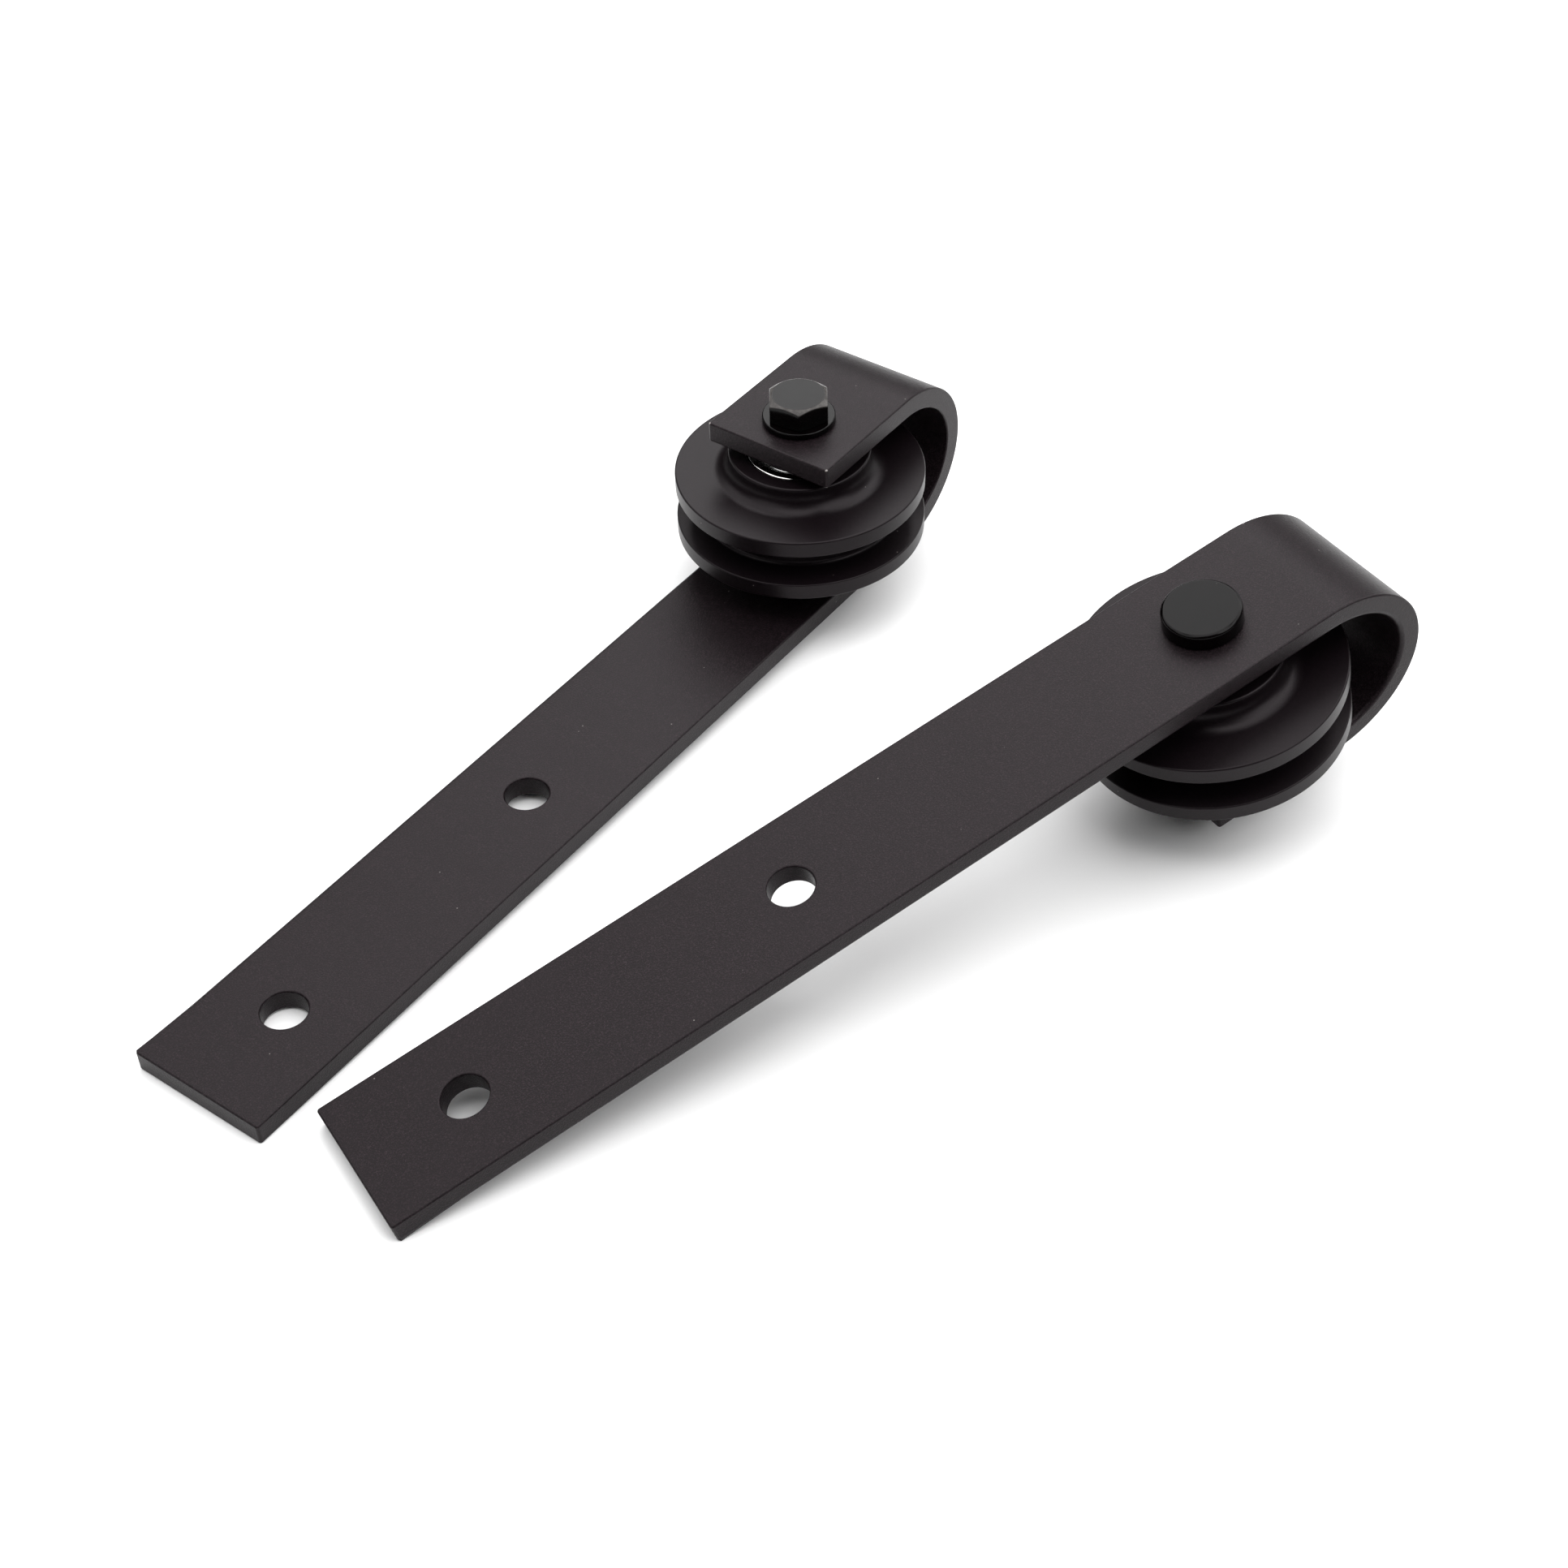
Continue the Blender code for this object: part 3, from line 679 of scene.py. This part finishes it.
class HANGERS_OT_bearings(Operator):
    """Make the four shielded ball bearings"""

    bl_idname = "hangers.bearings"
    bl_label = "Bearings"

    race_steps = 12
    ring_edge, small_edge, fine_edge = 0.0003, 0.0002, 0.0001
    broad_edge, crown_edge = 0.0006, 0.0008

    def outer_ring(self, size):
        half = size.width / 2
        land = half - size.inset - size.shield - self.ring_edge
        reach = math.degrees(math.acos((size.outer_land - size.pitch) / size.race))
        corners = mirrored([(size.radius, half, self.broad_edge)])
        corners += [(size.seat, -half, self.small_edge), (size.seat, -land, 0.0),
                    (size.outer_land, -land, self.fine_edge)]
        corners += arc((size.pitch, 0.0), size.race, -reach, reach, self.race_steps)
        corners += [(size.outer_land, land, self.fine_edge), (size.seat, land, 0.0),
                    (size.seat, half, self.small_edge)]
        return turned(corners, size.steps)

    def inner_ring(self, size):
        half = size.width / 2
        reach = math.degrees(math.acos((size.pitch - size.inner_land) / size.race))
        corners = [(size.bore, -half, self.ring_edge), (size.bore, half, self.ring_edge),
                   (size.inner_land, half, self.ring_edge)]
        corners += arc((size.pitch, 0.0), size.race, 180 - reach, 180 + reach, self.race_steps)
        corners += [(size.inner_land, -half, self.ring_edge)]
        return turned(corners, size.steps)

    def shield(self, size):
        """A pressed disc: its rim sits in the outer ring, and its face is raised and rounded."""
        fine, small, bowl_edge = self.fine_edge, self.small_edge, 0.0005
        crimp, gap, lip_width, lip_slope = 0.0003, 0.0001, 0.0003, 0.0001
        top = size.width / 2 - size.inset
        bottom = top - size.shield
        wall = size.shield * 0.5
        rise = size.inset - gap
        rim = size.seat - crimp
        foot = size.outer_land - gap
        lip = size.inner_land + crimp
        under = lip + lip_width
        return turned([(rim, top, fine), (rim, bottom, fine), (foot, bottom, small),
                       (foot - rise, bottom + rise, bowl_edge),
                       (under + lip_slope, bottom + rise, small),
                       (under, bottom, fine), (lip, bottom, fine), (lip, top + rise, small),
                       (foot - rise + gap, top + rise, self.crown_edge),
                       (foot, bottom + wall, fine), (rim - crimp, bottom + wall, fine),
                       (rim - crimp, top, fine)], size.steps)

    def ball_cage(self, size):
        """Balls in a pressed ribbon cage that swells round each ball."""
        half_width, play, sheet, strip_steps = 0.0009, 0.00006, 0.0003, 192
        bm = bmesh.new()
        inner, outer = size.pitch - half_width, size.pitch + half_width
        pocket = size.ball + play
        for direction in (1, -1):
            strip = ring(inner, outer, 0.0, sheet, 0.0, strip_steps)
            for vert in strip.verts:
                angle = math.atan2(vert.co.y, vert.co.x)
                step = math.tau / size.balls
                off = (angle / step - round(angle / step)) * step
                away = size.pitch * math.sin(off)
                if abs(away) < pocket:
                    vert.co.z += math.sqrt(pocket ** 2 - away ** 2)
                vert.co.z *= direction
            if direction < 0:
                bmesh.ops.recalc_face_normals(strip, faces=strip.faces)
            half = bpy.data.meshes.new("ribbon")
            strip.to_mesh(half)
            strip.free()
            bm.from_mesh(half)
            bpy.data.meshes.remove(half)
        for index in range(size.balls):
            turn = Matrix.Rotation(math.tau * index / size.balls, 4, "Z")
            spot = Matrix.Translation(turn @ Vector((size.pitch, 0.0, 0.0)))
            bmesh.ops.create_icosphere(bm, subdivisions=4, radius=size.ball, matrix=spot)
        return bm

    def execute(self, context):
        scene = context.scene
        size, finish = scene.hanger_bearing, scene.hanger_finish
        # part, what makes it, finish, whether it is turned over, and the body it rides on
        makers = (("outer_ring", self.outer_ring, "bearing_steel", False, "wheel"),
                  ("inner_ring", self.inner_ring, "bearing_steel", False, "hanger"),
                  ("ball_cage", self.ball_cage, "bearing_steel", False, None),
                  ("top_shield", self.shield, "shield_steel", False, "wheel"),
                  ("bottom_shield", self.shield, "shield_steel", True, "wheel"))
        centre = scene.hanger_wheel.centre
        for tag in TAGS:
            place = hanger_place(tag, centre)
            metals = {
                "bearing_steel": steel_finish(f"ground_steel_{tag}", tuple(finish.bearing),
                                              0.10, 0.14, place),
                "shield_steel": steel_finish(f"rolled_steel_{tag}", tuple(finish.shield),
                                             0.15, 0.20, place),
            }
            for side, direction in SIDES:
                for part, make, slot, flip, rider in makers:
                    body = f"{rider}_{tag}" if rider else f"{side}_balls_{tag}"
                    finish_piece(make(size), f"hanger_{tag}_{side}_{part}", tag, metals[slot],
                                 body, [f"{side}_bearing_{part}_{tag}"],
                                 centre + direction * size.offset, flip)
        return {"FINISHED"}


class HANGERS_OT_spacers(Operator):
    """Make the side spacers and the sleeves between the bearings"""

    bl_idname = "hangers.spacers"
    bl_label = "Spacers and sleeves"

    def execute(self, context):
        scene = context.scene
        size, wheel = scene.hanger_bearing, scene.hanger_wheel
        gap = scene.hanger_axle.clearance
        edge = 0.0003
        for tag in TAGS:
            steel = steel_finish(f"turned_steel_{tag}", tuple(scene.hanger_finish.spacer),
                                 0.26, 0.40, hanger_place(tag, wheel.centre))
            half = size.gap / 2 - gap
            for side, direction in SIDES:
                bm = ring(size.bore, size.spacer, -half, half, edge, size.steps)
                height = wheel.centre + direction * (wheel.hub_half + size.gap / 2)
                finish_piece(bm, f"hanger_{tag}_{side}_spacer", tag, steel, f"hanger_{tag}",
                             [f"{side}_spacer_{tag}"], height)
            half = size.offset - size.width / 2 - gap
            bm = ring(size.bore, size.sleeve, -half, half, edge, size.steps)
            finish_piece(bm, f"hanger_{tag}_bearing_sleeve", tag, steel, f"hanger_{tag}",
                         [f"bearing_sleeve_{tag}"], wheel.centre)
        return {"FINISHED"}


# ---------------------------------------------------------------- bolt, washer and nut

class HANGERS_OT_axles(Operator):
    """Make the hexagon bolts, their washers and the round nuts"""

    bl_idname = "hangers.axles"
    bl_label = "Axle bolts, washers and nuts"

    chamfer = math.tan(math.radians(30.0))
    side_cuts = 13
    crease = math.radians(12.0)  # head edges that turn more than this are rounded
    level = 0.0008               # and that rise less than this
    tip_reach = 0.0018           # how far from a corner of the hexagon its top gets painted highlight
    # strength of the painted highlight on the head's rounded rims and at its corners
    rim_wear, tip_wear = 0.15, 0.4
    neck = 0.0004                # how much the shank widens under the head
    tip_start, tip_end, tip_chamfer = -0.0012, -0.0020, 0.0008
    soft_edge, washer_edge, taper = 0.0010, 0.0004, 0.0001
    barrel_end, bore_end = 0.0054, -0.0023
    barrel_edge, bore_edge = 0.0003, 0.0002

    def grow(self, bm, cap, move):
        """Draw a new ring of faces out of a flat end, with each of its corners moved."""
        grown = bmesh.ops.extrude_face_region(bm, geom=[cap])
        bmesh.ops.delete(bm, geom=[cap], context="FACES_ONLY")
        for item in grown["geom"]:
            if isinstance(item, bmesh.types.BMVert):
                item.co = move(item.co)
        return next(item for item in grown["geom"] if isinstance(item, bmesh.types.BMFace))

    def circle(self, radius, height):
        return lambda point: (*(point.xy.normalized() * radius), height)

    def bolt(self, axle, top):
        """A hexagon head with a chamfered top, on a shank that ends in a chamfer."""
        bottom = top - axle.head_height + axle.clearance
        corner = axle.across_flats / math.sqrt(3)

        def cone(point):
            over = max(0.0, point.xy.length - axle.head_flat)
            return (point.x, point.y, top - over * self.chamfer)

        bm = bmesh.new()
        turn = Matrix.Translation((0.0, 0.0, bottom)) @ Matrix.Rotation(axle.head_turn, 4, "Z")
        bmesh.ops.create_circle(bm, cap_ends=True, segments=6, radius=corner, matrix=turn)
        bevel(bm, bm.verts[:], axle.edge, 3, "VERTICES")
        long_edges = [edge for edge in bm.edges if edge.calc_length() > corner / 2]
        bmesh.ops.subdivide_edges(bm, edges=long_edges, cuts=self.side_cuts)
        foot = bm.faces[:][0]
        copy = bmesh.ops.duplicate(bm, geom=[foot])
        head = next(item for item in copy["geom"] if isinstance(item, bmesh.types.BMFace))
        head = self.grow(bm, head, cone)
        self.grow(bm, head, self.circle(axle.head_flat, top))
        for radius, height in ((axle.shank + self.neck, bottom),
                               (axle.shank, bottom - self.neck),
                               (axle.shank, self.tip_start),
                               (axle.shank - self.tip_chamfer, self.tip_end)):
            foot = self.grow(bm, foot, self.circle(radius, height))
        bmesh.ops.remove_doubles(bm, verts=bm.verts, dist=MERGE)
        bmesh.ops.recalc_face_normals(bm, faces=bm.faces)
        rims = [edge for edge in bm.edges if len(edge.link_faces) == 2
                and edge.calc_face_angle() > self.crease
                and min(vert.co.z for vert in edge.verts) > bottom + axle.clearance
                and abs(edge.verts[0].co.z - edge.verts[1].co.z) < self.level]
        rounded = bevel(bm, rims, axle.edge, EDGE_SEGMENTS, clamp=True)
        tips = [face for face in bm.faces if face.normal.z > 0.5
                and face.calc_center_median().xy.length > corner - self.tip_reach]
        # painted highlight: the head's rounded rims a little, the top's corners more
        mark_pale_edges(bm, rounded["faces"], self.rim_wear)
        mark_pale_edges(bm, tips, self.tip_wear)
        return bm

    def nut(self, axle, bore):
        """A low round head with a soft rim, and a blind barrel in the strap's hole."""
        head = -axle.nut_height
        return turned([(0.0, head, 0.0), (axle.nut_radius - self.taper, head, self.soft_edge),
                       (axle.nut_radius, -axle.clearance, axle.edge),
                       (axle.nut_barrel, -axle.clearance, 0.0),
                       (axle.nut_barrel, self.barrel_end, self.barrel_edge),
                       (bore, self.barrel_end, self.bore_edge), (bore, self.bore_end, 0.0),
                       (0.0, self.bore_end, 0.0)], axle.steps, closed=False)

    def execute(self, context):
        scene = context.scene
        axle, strap, finish = scene.hanger_axle, scene.hanger_strap, scene.hanger_finish
        black = black_finish("black_oxide", tuple(finish.black), tuple(finish.pale_marks_and_highlight))
        bore = scene.hanger_bearing.bore
        seat = strap.loop_depth + axle.washer_thickness
        for tag in TAGS:
            washer = ring(bore, axle.washer_radius, strap.loop_depth + axle.clearance, seat,
                          self.washer_edge, axle.steps)
            parts = {"washer": washer, "axle_bolt": self.bolt(axle, seat + axle.head_height),
                     "axle_nut": self.nut(axle, bore)}
            for part, bm in parts.items():
                finish_piece(bm, f"hanger_{tag}_{part}", tag, black, f"hanger_{tag}",
                             [f"{part}_{tag}"])
        return {"FINISHED"}


# ---------------------------------------------------------------- floor, lights and camera

class HANGERS_OT_stage(Operator):
    """Set the pale floor, the soft lights and the camera"""

    bl_idname = "hangers.stage"
    bl_label = "Floor, lights and camera"

    def add_floor(self, stage):
        bm = bmesh.new()
        bmesh.ops.create_circle(bm, cap_ends=True, segments=128, radius=stage.floor_radius)
        mesh = bpy.data.meshes.new("studio_floor")
        bm.to_mesh(mesh)
        bm.free()
        floor = bpy.data.objects.new("studio_floor", mesh)
        bpy.context.scene.collection.objects.link(floor)
        graph = Graph("studio_floor")
        graph.shader.inputs["Base Color"].default_value = (*stage.floor, 1.0)
        graph.shader.inputs["Roughness"].default_value = FLOOR_ROUGHNESS
        graph.shader.inputs["Specular IOR Level"].default_value = FLOOR_SPECULAR
        mesh.materials.append(graph.material)

    def add_softbox(self, stage, name, bearing, elevation, size, brightness):
        """A round softbox, placed by its bearing from the camera's side of the hangers."""
        light = bpy.data.lights.new(name, "AREA")
        light.shape = "DISK"
        light.size = size
        light.energy = brightness * stage.light_level * (math.pi * size / 2) ** 2
        lamp = bpy.data.objects.new(name, light)
        bpy.context.scene.collection.objects.link(lamp)
        lamp.visible_camera = False
        heading = stage.camera_azimuth + math.radians(bearing)
        rise = math.radians(elevation)
        away = Vector((math.sin(heading) * math.cos(rise), -math.cos(heading) * math.cos(rise),
                       math.sin(rise)))
        turn = (-away).to_track_quat("-Z", "Y").to_matrix().to_4x4()
        lamp.matrix_world = Matrix.Translation(away * stage.light_distance) @ turn

    def add_camera(self, stage):
        data = bpy.data.cameras.new("camera")
        data.lens = stage.lens
        data.sensor_width = 36.0
        data.clip_start = 0.01
        camera = bpy.data.objects.new("camera", data)
        bpy.context.scene.collection.objects.link(camera)
        turn = (Matrix.Rotation(stage.camera_azimuth, 4, "Z")
                @ Matrix.Rotation(math.pi / 2 - stage.camera_elevation, 4, "X")
                @ Matrix.Rotation(stage.camera_roll, 4, "Z"))
        camera.matrix_world = Matrix.Translation(stage.camera_place) @ turn
        bpy.context.scene.camera = camera

    def execute(self, context):
        scene = context.scene
        stage = scene.hanger_stage
        self.add_floor(stage)
        self.add_camera(stage)
        world = bpy.data.worlds.new("studio")
        world.use_nodes = True
        surround = world.node_tree.nodes["Background"]
        surround.inputs["Color"].default_value = (1.0, 1.0, 1.0, 1.0)
        world.cycles_visibility.diffuse = False
        world.cycles_visibility.glossy = False
        scene.world = world
        for softbox in SOFTBOXES:
            self.add_softbox(stage, *softbox)
        scene.view_settings.view_transform = "Standard"
        return {"FINISHED"}


# ---------------------------------------------------------------- panel and run

OPERATORS = (HANGERS_OT_straps, HANGERS_OT_rollers, HANGERS_OT_bearings, HANGERS_OT_spacers,
             HANGERS_OT_axles, HANGERS_OT_stage)


class HANGERS_PT_panel(Panel):
    """Sizes, finishes and steps of the roller hangers"""

    bl_label = "Barn Door Hangers"
    bl_space_type = "VIEW_3D"
    bl_region_type = "UI"
    bl_category = "Hangers"

    def draw(self, context):
        for attribute, group in SETTINGS.items():
            box = self.layout.box()
            box.label(text=group.__doc__)
            for name in group.__annotations__:
                box.prop(getattr(context.scene, attribute), name)
        for operator in OPERATORS:
            self.layout.operator(operator.bl_idname)


CLASSES = (*SETTINGS.values(), *OPERATORS, HANGERS_PT_panel)


def register():
    for item in CLASSES:
        bpy.utils.register_class(item)
    for attribute, group in SETTINGS.items():
        setattr(bpy.types.Scene, attribute, PointerProperty(type=group))


def unregister():
    for attribute in SETTINGS:
        delattr(bpy.types.Scene, attribute)
    for item in reversed(CLASSES):
        bpy.utils.unregister_class(item)


def main():
    register()
    bpy.ops.hangers.straps()
    bpy.ops.hangers.rollers()
    bpy.ops.hangers.bearings()
    bpy.ops.hangers.spacers()
    bpy.ops.hangers.axles()
    bpy.ops.hangers.stage()


if __name__ == "__main__":
    main()
